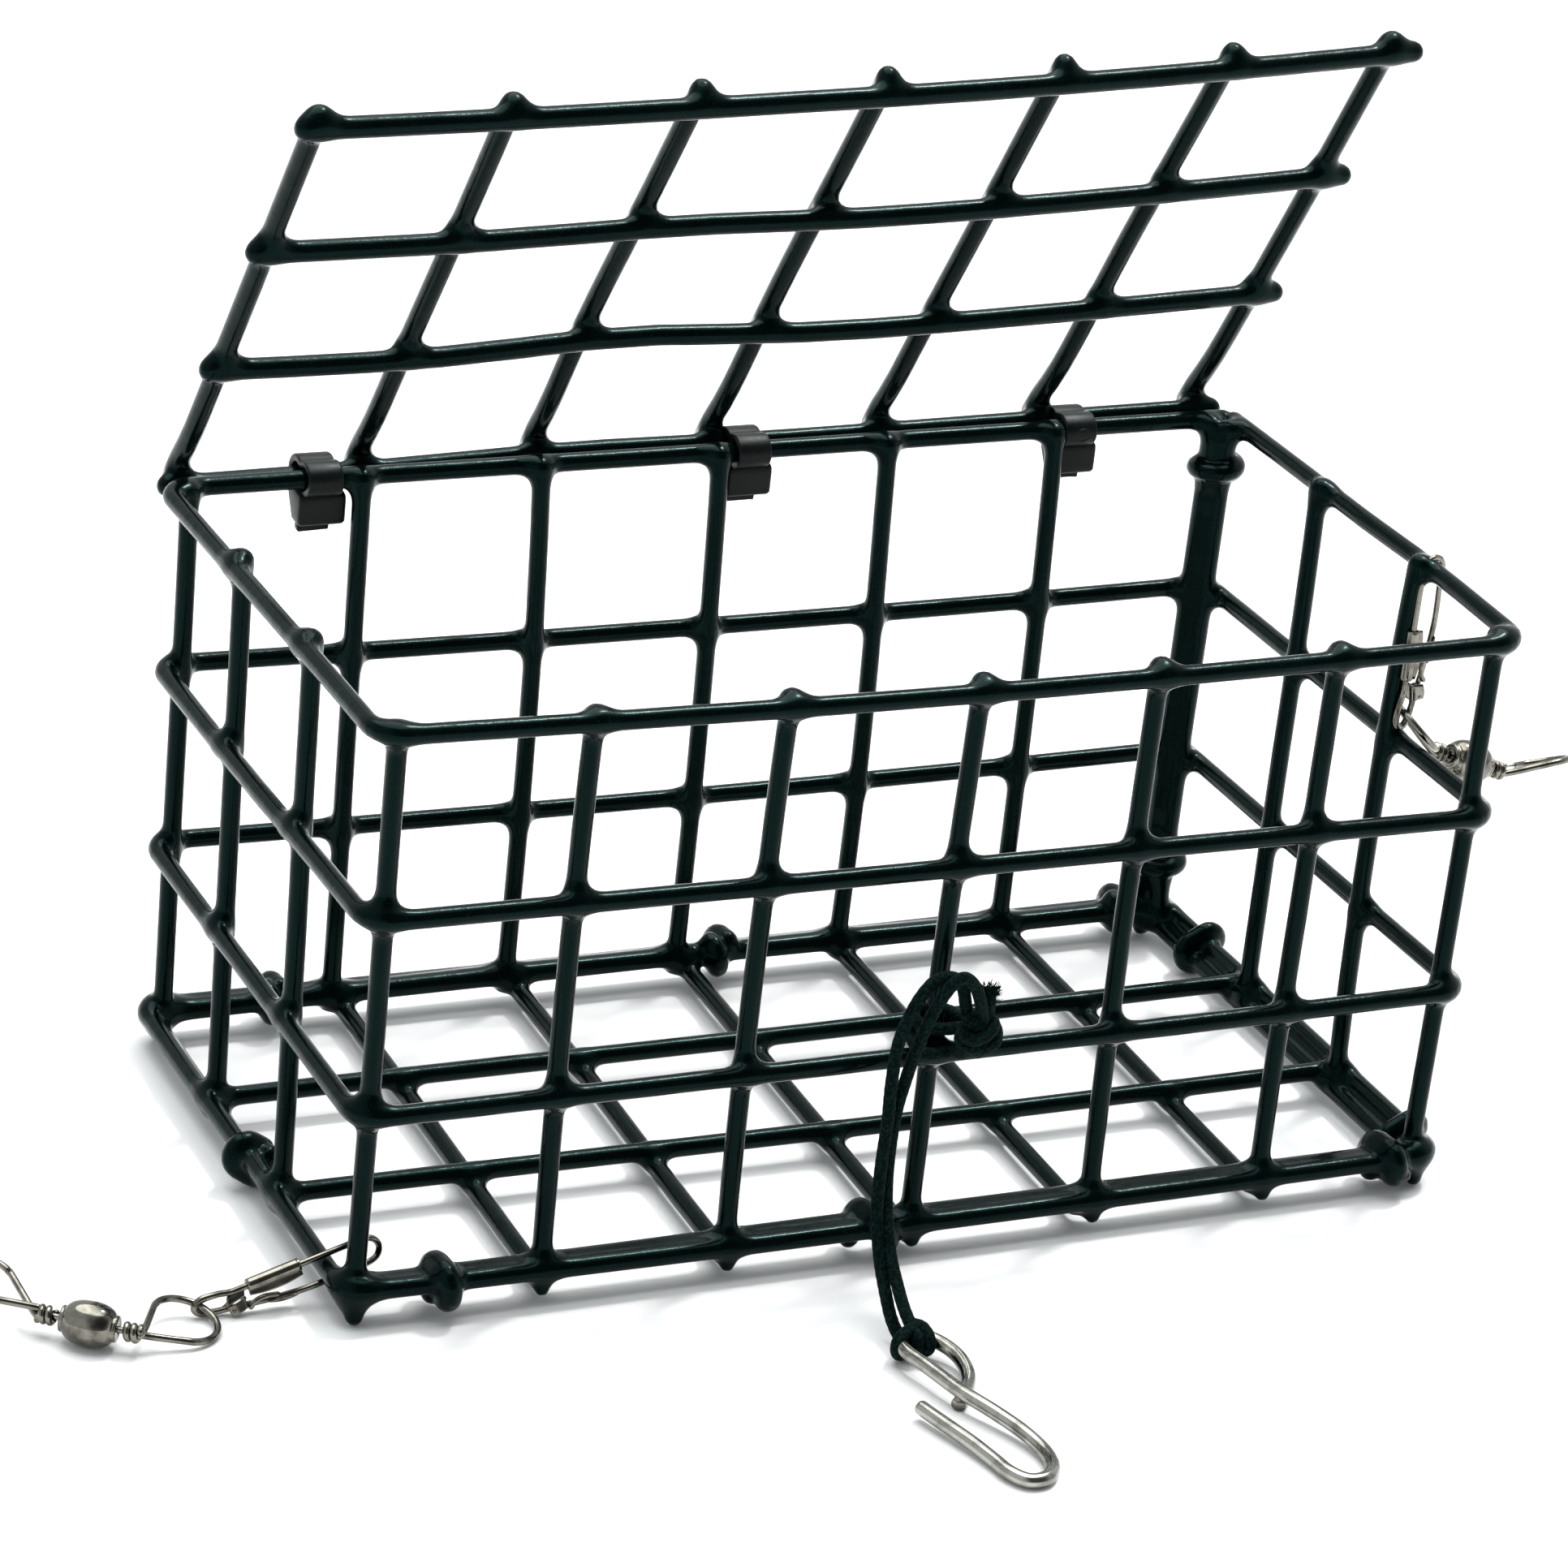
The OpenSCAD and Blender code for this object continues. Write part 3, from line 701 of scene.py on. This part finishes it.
def make_cage():
    f = Field((-81, -44.5, -0.6), (81, 44.5, 83.6), 0.5)
    hoops, ups, longs, crosses, webs, clips = (f.empty() for _ in range(6))
    for i in range(4):
        f.wire(hoops, hoop_path(i), WIRE_R)
    for i, (xs, ys, low, top) in enumerate(cage_uprights()):
        path = post_path(xs, ys, low + 2.8, top - WIRE_R, 100 + i)
        f.wire(ups, path, WIRE_R)
        # the dip runs down the foot and ends in a rounded drip
        x, y = path[0][:2]
        lean = 1.4 if y < -30 else 0.4 if y > 30 else 0
        tip = np.array((x * 1.004, y + math.copysign(lean, y), low + 0.85))
        if abs(x) > 72 and low == 0:
            f.rod(ups, path[0] + (0, math.copysign(0.35, y), 1.5), tip + (0, 0, 0.35), 2.45, 1.15)
        else:
            f.rod(ups, path[0], tip, WIRE_R + 0.35, 0.85)
    for i, y in enumerate(((-EDGE_Y, -EDGE_Y), (-12.9, -13.8), (12.9, 12.9), (EDGE_Y, EDGE_Y))):
        left_z = FLOOR_LONG_Z + (0 if i else 0.4)
        path = wavy((-75.2, y[0], left_z), (75.2, y[1], FLOOR_LONG_Z), 200 + i, 0.1, 12)
        f.wire(longs, path, WIRE_R)
    inner = [(x + front, x + rear) for x, (front, rear) in zip(INNER_X, CROSS_LEAN)]
    for i, (front, rear) in enumerate([(-EDGE_X, -EDGE_X)] + inner + [(EDGE_X, EDGE_X)]):
        path = wavy((front, -37, FLOOR_CROSS_Z), (rear, 37, FLOOR_CROSS_Z), 220 + i, 0.08, 6)
        f.wire(crosses, path, WIRE_R)
    # dip that stays as a skin between the lowest hoop and the floor's edge wires
    for side, seed in ((-1, 240), (1, 241)):
        path = wavy((-73, side * 37.4, 4.2), (73, side * 37.4, 4.2), seed, 0.2, 24)
        thick = 0.58 + 0.14 * np.sin(np.linspace(0, 17, len(path)) + seed)
        f.wire(webs, path, thick)
    seam = np.linspace(3, 78, 26)
    f.wire(webs, np.stack([74.15 + 0 * seam, 36.3 + 0 * seam, seam], 1), 1.05 + 0.12 * np.sin(seam * 0.7))
    draw_clips(f, clips)
    v = blend(blend(hoops, ups, 2.4), blend(longs, crosses, 2.1), 1.4)
    v = blend(blend(v, webs, 1.5), clips, 1.5)
    p, g, quads = f.surface(v)
    middle = p[quads].mean(1)
    parts = {
        "cage_floor_skin": middle[:, 2] < 7.2,
        "cage_front_skin": (middle[:, 2] >= 7.2) & (middle[:, 1] < 0),
        "cage_rear_skin": (middle[:, 2] >= 7.2) & (middle[:, 1] >= 0),
    }
    made = {name: skin_object(name, p, g, quads[mask], "cage") for name, mask in parts.items()}
    nodes = list(frame["nodes"])
    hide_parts(*[n for n in nodes if n.startswith("floor_")], "panel_clips")
    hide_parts(*[n for n in nodes if n.startswith(("hoop_", "upright_"))])


make_cage()


# ---- lid ----

LID_ANGLE = 57
LID_R = 1.4
CROSS_Z = 2.05
CROSS_SHIFT = (0, 0, 0, 0.5, 0.4, 0, -0.5)


def lid_frame():
    """Lid axes: x along the hinge, -y towards the free edge and z out of the lid's outer face."""
    hinge = next(j for j in frame["joints"] if j["name"] == "lid_hinge")
    place = Vector(hinge["pos_m"]) / MM
    return Matrix.Translation(place) @ Matrix.Rotation(math.radians(-LID_ANGLE), 4, "X")


def lid_point(x, s, n):
    """The panel sits a little askew and is bent: x along the hinge, s from it, n outwards."""
    bulge = 1.7 * math.exp(-((x + 20) / 20) ** 2 - ((s - 26) / 26) ** 2)
    return (x - 0.0057 * s, -s - 0.0057 * x, n + 0.002 * s + 0.0072 * x + 0.00035 * x * s + bulge)


def make_lid():
    f = Field((-81, -81, -5), (81, 6, 8.5), 0.5)
    longs, crosses = f.empty(), f.empty()
    for i in range(4):
        sag = 0.4 if i else 0
        path = [lid_point(x, 24.75 * i, sag * (2 * (x / 62) ** 2 - 1)) for x in np.linspace(-76.4, 76, 16)]
        f.wire(longs, np.array(path) + wavy((0, 0, 0), (0, 0, 0), 300 + i, 0.08, 15), LID_R)
    for i in range(7):
        x = -74.6 + 24.8 * i + CROSS_SHIFT[i]
        skew = -0.8 / 76 if i == 6 else 0
        # a cross wire stands a little higher near the hinge, clear of the cage's top hoop
        path = [lid_point(x + skew * s, s, CROSS_Z + 0.75 * math.exp(-(s / 6) ** 2))
                for s in np.linspace(-1.4, 75, 22)]
        path = np.array(path) + wavy((0, 0, 0), (0, 0, 0), 320 + i, 0.08, 21)
        f.wire(crosses, path, LID_R)
        if i == 0:
            f.rod(crosses, path[0], path[0] + (0, 1.1, -1.7), LID_R, LID_R - 0.1)
    p, g, quads = f.surface(blend(longs, crosses, 2.4))
    lid = skin_object("lid_skin", p, g, quads, "lid", lid_frame())
    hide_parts(*[n for n in frame["nodes"] if n.startswith("lid_")])


make_lid()


# ---------------------------------------------------------------- cable ties

TIE_X = (-56.6, 4, 53)
# the band's middle in the (y, z) plane, from the head round both wires and back to the head
BAND = [(40, 76), (38.7, 76.9), (37.7, 77.7), (37.38, 78.7), (37.8, 79.8), (39, 80.5), (40.1, 80.4),
        (41, 80.15), (42.2, 80.42), (43.6, 80.1), (44.55, 79.1), (44.7, 78), (44.1, 76.9), (43, 76.3),
        (41.8, 76)]


def make_tie(x, seed):
    """A cable tie: a band over both wires, its wedge-shaped head below and a cut tail."""
    rng = np.random.default_rng(seed)
    loop = spline([(0, y, z) for y, z in BAND], 0.25)
    band = sweep(loop + (x - 0.1, 0, 0), rounded_box(-2.4, 2.4, -0.5, 0.5, 0.3), (1, 0, 0))
    levels = ((72.3, 0.45), (72.42, 0.18), (72.75, 0), (73.6, 0), (74.6, 0), (75.5, 0), (76.2, 0.05),
              (76.65, 0.25), (76.85, 0.6))
    rings = []
    for z, inset in levels:
        half = 3.25 - inset
        back = 41.5 + 2.1 * min(1, (z - 72.3) / 3.4)
        outline = rounded_box(x + 0.25 - half, x + 0.25 + half, 38.6 + inset, back - inset, 0.55)
        rings.append([(a, b, z) for a, b in outline])
    head = loft(rings)
    tail = []
    for z, inset in ((73, 0), (72, 0), (71.5, 0.02), (71.3, 0.12)):
        half = 2.2 - inset
        outline = rounded_box(x - 0.5 - half, x - 0.5 + half, 39.75 + inset, 40.95 - inset, 0.25)
        ragged = rng.normal(0, 0.07, len(outline)) if z < 71.9 else np.zeros(len(outline))
        tail.append([(a, b, z + c) for (a, b), c in zip(outline, ragged)])
    return [band, head, loft(tail[::-1])]


def make_ties():
    parts = []
    for i, x in enumerate(TIE_X):
        parts += make_tie(x, 60 + i)
    # the oval rim moulded on the right tie's band
    turn = np.linspace(0, 2 * math.pi, 40, endpoint=False)
    across, up = np.cos(turn), np.sin(turn)
    rim = np.stack([53.1 + 1.15 * across, 36.98 + 0.14 * up ** 2, 78.6 + 0.85 * up], 1)
    parts.append(tube(rim, 0.14, 8, True))
    ties = mesh_object("cable_ties", *join(*parts), NYLON, "cage", "tie_nylon")
    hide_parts("hinge_ties")


make_ties()


# ---------------------------------------------------------------- hook

HOOK_R = 0.95
HOOK = [(-16.2, -76.3, 1.7), (-14.8, -80.5, 1.5), (-13.3, -84.9, 1.3), (-12.2, -89, 1.1),
        (-11.6, -91.8, 1.05), (-10.1, -94, 1.0), (-7.6, -94, 1.0), (-5.8, -91.8, 1.05),
        (-5.4, -88.5, 1.2), (-6.3, -84.5, 1.6), (-8, -80.3, 2.0), (-10.3, -75.2, 2.4),
        (-11.9, -69.4, 2.6), (-12.9, -65.9, 2.7), (-12.7, -63.4, 2.8), (-11.2, -62.5, 2.8),
        (-9.2, -62.9, 2.7), (-7.4, -64.7, 2.3), (-6.5, -67.3, 1.9), (-6.7, -70.2, 1.5), (-8, -72.8, 1.1),
        (-10.7, -76.1, 1.0)]


def make_hook():
    path = spline(HOOK, 0.3)
    radius = np.full(len(path), HOOK_R)
    radius[:2] = (0.8, 0.91)
    hook = mesh_object("steel_hook", *tube(path, radius, 28, round_ends=False), STEEL, "hook", "stainless")
    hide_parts("hook")
    return hook


hook = make_hook()


# ---------------------------------------------------------------- swivels

SWIVEL_R = 0.46
EYE_R = 4.1
EYE_FOOT = 6.1
SNAP = [(-5.04, -0.05), (-4, 0.6), (-1.9, 0.45), (0, 0), (3, 0), (6, 0), (9, 0), (12, 0), (15, 0), (17.2, 0),
        (18.5, -0.55), (19, -1.8), (18.5, -3.05), (17.2, -3.58), (15, -3.55), (11, -3.72), (8, -3.6),
        (4, -3.05), (0, -2.3), (-3.5, -1.6), (-4.8, -0.95)]


def unit(v):
    v = np.asarray(v, float)
    return v / np.linalg.norm(v)


def snap_wire():
    """The snap's bent wire, whose flattened near loop holds the swivel's eye."""
    path = spline([(u, 0, w) for u, w in SNAP], 0.3, True)
    flat = np.clip((-2 - path[:, 0]) / 2, 0, 1)
    return tube(path, SWIVEL_R - 0.05 + 0.06 * flat, 20, True)


def snap_plate():
    """Thin sheet rolled round the straight leg, its flap, a leaf round the other leg and the clasp."""
    along = 1.9 + 7 * steps_in(15, 0.015)
    turn = np.radians(np.linspace(262, -118, 26))
    roll = [(0.70 * math.cos(a), 0.70 * math.sin(a)) for a in turn]
    grid = []
    for x in along:
        drop = 0.2 + 0.75 * max(0, math.sin(math.pi * (x - 1.2) / 8.6)) ** 0.8
        flap = [(-0.16 - 0.36 * k, -0.72 - drop * k) for k in steps_in(6)[::-1]]
        grid.append([(x, y, z) for y, z in flap + roll])
    sleeve = plate(grid, 0.3)
    leaf = []
    for k in steps_in(16, 0.02):
        wide = 0.12 + 0.62 * math.sin(math.pi * k) ** 0.7
        x = 3.9 + 3.7 * k
        low = -3.0 - 0.16 * (x - 4)
        leaf.append([(x, -0.62 * math.cos(a), low - 0.62 * wide * math.sin(a) * 1.3)
                     for a in np.radians(np.linspace(-25, 160, 12))])
    face = []
    for k in steps_in(10):
        row = []
        for m in steps_in(8):
            top = np.array((-1.3 + 2.5 * m, -0.5, -1.55 + 0.55 * m))
            low = np.array((-0.9 + 2.1 * m, -1.0, -2.8 + 0.45 * m))
            row.append(top + (low - top) * k + np.array((0, -0.25 * math.sin(math.pi * m), 0)))
        face.append(row)
    brow = []
    for k in steps_in(8):
        brow.append([(-1.3 + 2.5 * m + 0.5 * k, -0.5 + 0.75 * k, -1.55 + 0.55 * m + 0.9 * math.sin(1.5 * k))
                     for m in steps_in(8)])
    tip = tube(spline([(5.2, -0.35, -2.62), (3.6, -0.5, -2.1), (2.4, -0.6, -2.15), (1.6, -0.62, -2.7)], 0.2),
               0.36, 16)
    curl = spline([(1.1, -0.4, -1.3), (0.2, 0.1, -0.8), (-1.2, 0.35, -1.9), (-2.4, 0.1, -2)], 0.2)
    hook_back = tube(curl, 0.3, 14)
    rivet = tube(spline([(-0.55, -0.85, -2.0), (-0.55, -1.02, -2.0)], 0.1), 0.26, 16)
    return join(sleeve, plate(leaf, 0.26), plate(face, 0.34), plate(brow, 0.3), tip, hook_back, rivet)


def coil(c, a, w, b, start, end, turns, radius):
    """A neat helix of wire round the axis a through c."""
    t = np.linspace(0, 1, int(26 * turns))[:, None]
    angle = 2 * math.pi * turns * t
    return c + (start + (end - start) * t) * a + radius * (np.cos(angle) * w + np.sin(angle) * b)


def eye(centre, direction, far, across):
    """A swivel's eye: head and stem in the barrel, coiled neck, crossed legs and a round loop."""
    c, a = np.array(centre, float), unit(direction)
    k = c + EYE_FOOT * a
    u = unit(np.array(far) - k)
    v = unit(np.array(across) - u * (np.array(across) @ u))
    middle = np.array(far) - EYE_R * u
    n = np.cross(u, v)
    w = unit(v - a * (v @ a))
    b = np.cross(a, w)
    # the legs cross just past the neck and run into the loop along its tangents
    cross = k + 0.9 * u
    open_by = math.degrees(math.acos(EYE_R / np.linalg.norm(middle - cross)))
    turn = np.radians(np.linspace(180 - open_by, open_by - 180, 25))
    lift = np.linspace(0.3, -0.3, 25)
    ring = [middle + EYE_R * (math.cos(t) * u + math.sin(t) * v) + h * n for t, h in zip(turn, lift)]
    first = [k - 0.2 * a - 0.55 * v, cross + 0.45 * n]
    last = [cross - 0.45 * n, k - 0.2 * a + 0.55 * v]
    loop = tube(spline(first + ring + last, 0.3), SWIVEL_R, 20)
    neck = tube(coil(c, a, w, b, 4.5, 6.5, 2.3, 0.82), SWIVEL_R - 0.02, 16)
    stem = tube([c + 1.9 * a, c + 3.4 * a, c + 4.9 * a, c + 6.2 * a], [0.9, 0.4, 0.4, 0.4], 20)
    return join(loop, neck, stem)


def barrel(centre, direction):
    """A turned, plump barrel with a small lip at each end and a hollow inside."""
    h = 3.6
    outer = [(0.5, -h), (1.3, -h), (1.62, -h + 0.1), (1.68, -h + 0.3), (1.58, -h + 0.5)]
    body = []
    for z in np.linspace(-h + 0.62, h - 0.62, 30):
        body.append((1.55 + 1.25 * max(0.0, 1 - (abs(z) / (h - 0.5)) ** 2.4) ** 0.62, z))
    outer += body + [(r, -z) for r, z in outer[::-1]]
    inner = [(0.5, 2.7), (1.3, 2.55), (1.4, 0), (1.3, -2.55), (0.5, -2.7)]
    turn = np.linspace(0, 2 * math.pi, 56, endpoint=False)
    rings = [[(r * math.cos(t), r * math.sin(t), z) for r, z in outer + inner] for t in turn]
    place = Matrix.Translation(centre) @ Vector(direction).to_track_quat("Z", "Y").to_matrix().to_4x4()
    points, faces = loft(rings, True)
    return placed((points, [f[::-1] for f in faces]), place)


def make_swivel(hand, centre, direction, near, near_across, far, far_across, snap_place):
    """One snap swivel in five moving pieces."""
    reverse = tuple(-x for x in direction)
    made = (
        ("snap_wire_", "snap", placed(snap_wire(), snap_place)),
        ("snap_plate_", "snap", placed(snap_plate(), snap_place)),
        ("snap_eye_", "eye", eye(centre, direction, near, near_across)),
        ("barrel_", "barrel", barrel(centre, direction)),
        ("line_eye_", "line_eye", eye(centre, reverse, far, far_across)),
    )
    for node, body, (points, faces) in made:
        piece = mesh_object(node + hand + "_detail", points, faces, NICKEL, hand + "_" + body, "black_nickel")
        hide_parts(node + hand)


make_swivel("left", (-107.5, -35.2, 2.85), (0.8, -0.6, 0), (-91.8, -33.6, 1.2), (0, 0.98, 0.12),
            (-120.2, -21.2, 5.4), (1, 0.55, 0),
            Matrix.Translation((-88.6, -32.6, 3.15)) @ Matrix.Rotation(math.radians(-17.3), 4, "Y"))
make_swivel("right", (91.2, -11.5, 48.2), (-0.93, -0.06, 0.36), (76.8, -16.3, 58.6), (0.2, 0.97, 0),
            (108.6, -8.2, 45.5), (-0.23, 0.84, -0.49),
            Matrix.Translation((76.16, -16.07, 61.6)) @ Matrix.Rotation(math.radians(15), 4, "Z")
            @ Matrix.Rotation(math.radians(-90), 4, "Y"))


# ---------------------------------------------------------------- stage and light

def make_stage():
    n = Nodes("white_table")
    n.shader.inputs["Base Color"].default_value = grey(0.92)
    n.shader.inputs["Roughness"].default_value = 0.6
    n.shader.inputs["Specular IOR Level"].default_value = 0.1
    mesh = bpy.data.meshes.new("table")
    mesh.from_pydata([(-6, -6, 0), (6, -6, 0), (6, 6, 0), (-6, 6, 0)], [], [(0, 1, 2, 3)])
    mesh.materials.append(n.material)
    table = bpy.data.objects.new("table", mesh)
    bpy.context.collection.objects.link(table)


def sun(name, towards, angle, strength):
    """A far lamp: towards is where its light comes from, angle how wide it looks."""
    data = bpy.data.lights.new(name, "SUN")
    data.angle = math.radians(angle)
    data.energy = strength
    light = bpy.data.objects.new(name, data)
    bpy.context.collection.objects.link(light)
    light.rotation_euler = Vector(towards).to_track_quat("Z", "Y").to_euler()


def make_light():
    """A bright room that is darker on the side the picture is taken from, and two soft lamps."""
    world = bpy.data.worlds.new("studio")
    bpy.context.scene.world = world
    world.use_nodes = True
    nodes, links = world.node_tree.nodes, world.node_tree.links
    around = nodes.new("ShaderNodeTexCoord")
    dot = nodes.new("ShaderNodeVectorMath")
    dot.operation = "DOT_PRODUCT"
    dot.inputs[1].default_value = (0.1, -0.8, 0.6)
    ramp = nodes.new("ShaderNodeValToRGB")
    ramp.color_ramp.elements[0].position = 0.62
    ramp.color_ramp.elements[0].color = (0.95, 1, 1.01, 1)
    ramp.color_ramp.elements[1].position = 0.92
    ramp.color_ramp.elements[1].color = (0.12, 0.12, 0.12, 1)
    links.new(around.outputs["Generated"], dot.inputs[0])
    links.new(dot.outputs["Value"], ramp.inputs["Fac"])
    links.new(ramp.outputs["Color"], nodes["Background"].inputs["Color"])
    nodes["Background"].inputs["Strength"].default_value = 0.9
    sun("overhead", (0.1, 0.3, 1), 60, 2.95)
    sun("key", (0.42, 0.25, 0.88), 7, 1.5)


make_stage()
make_light()
bpy.context.scene.view_settings.view_transform = "Standard"
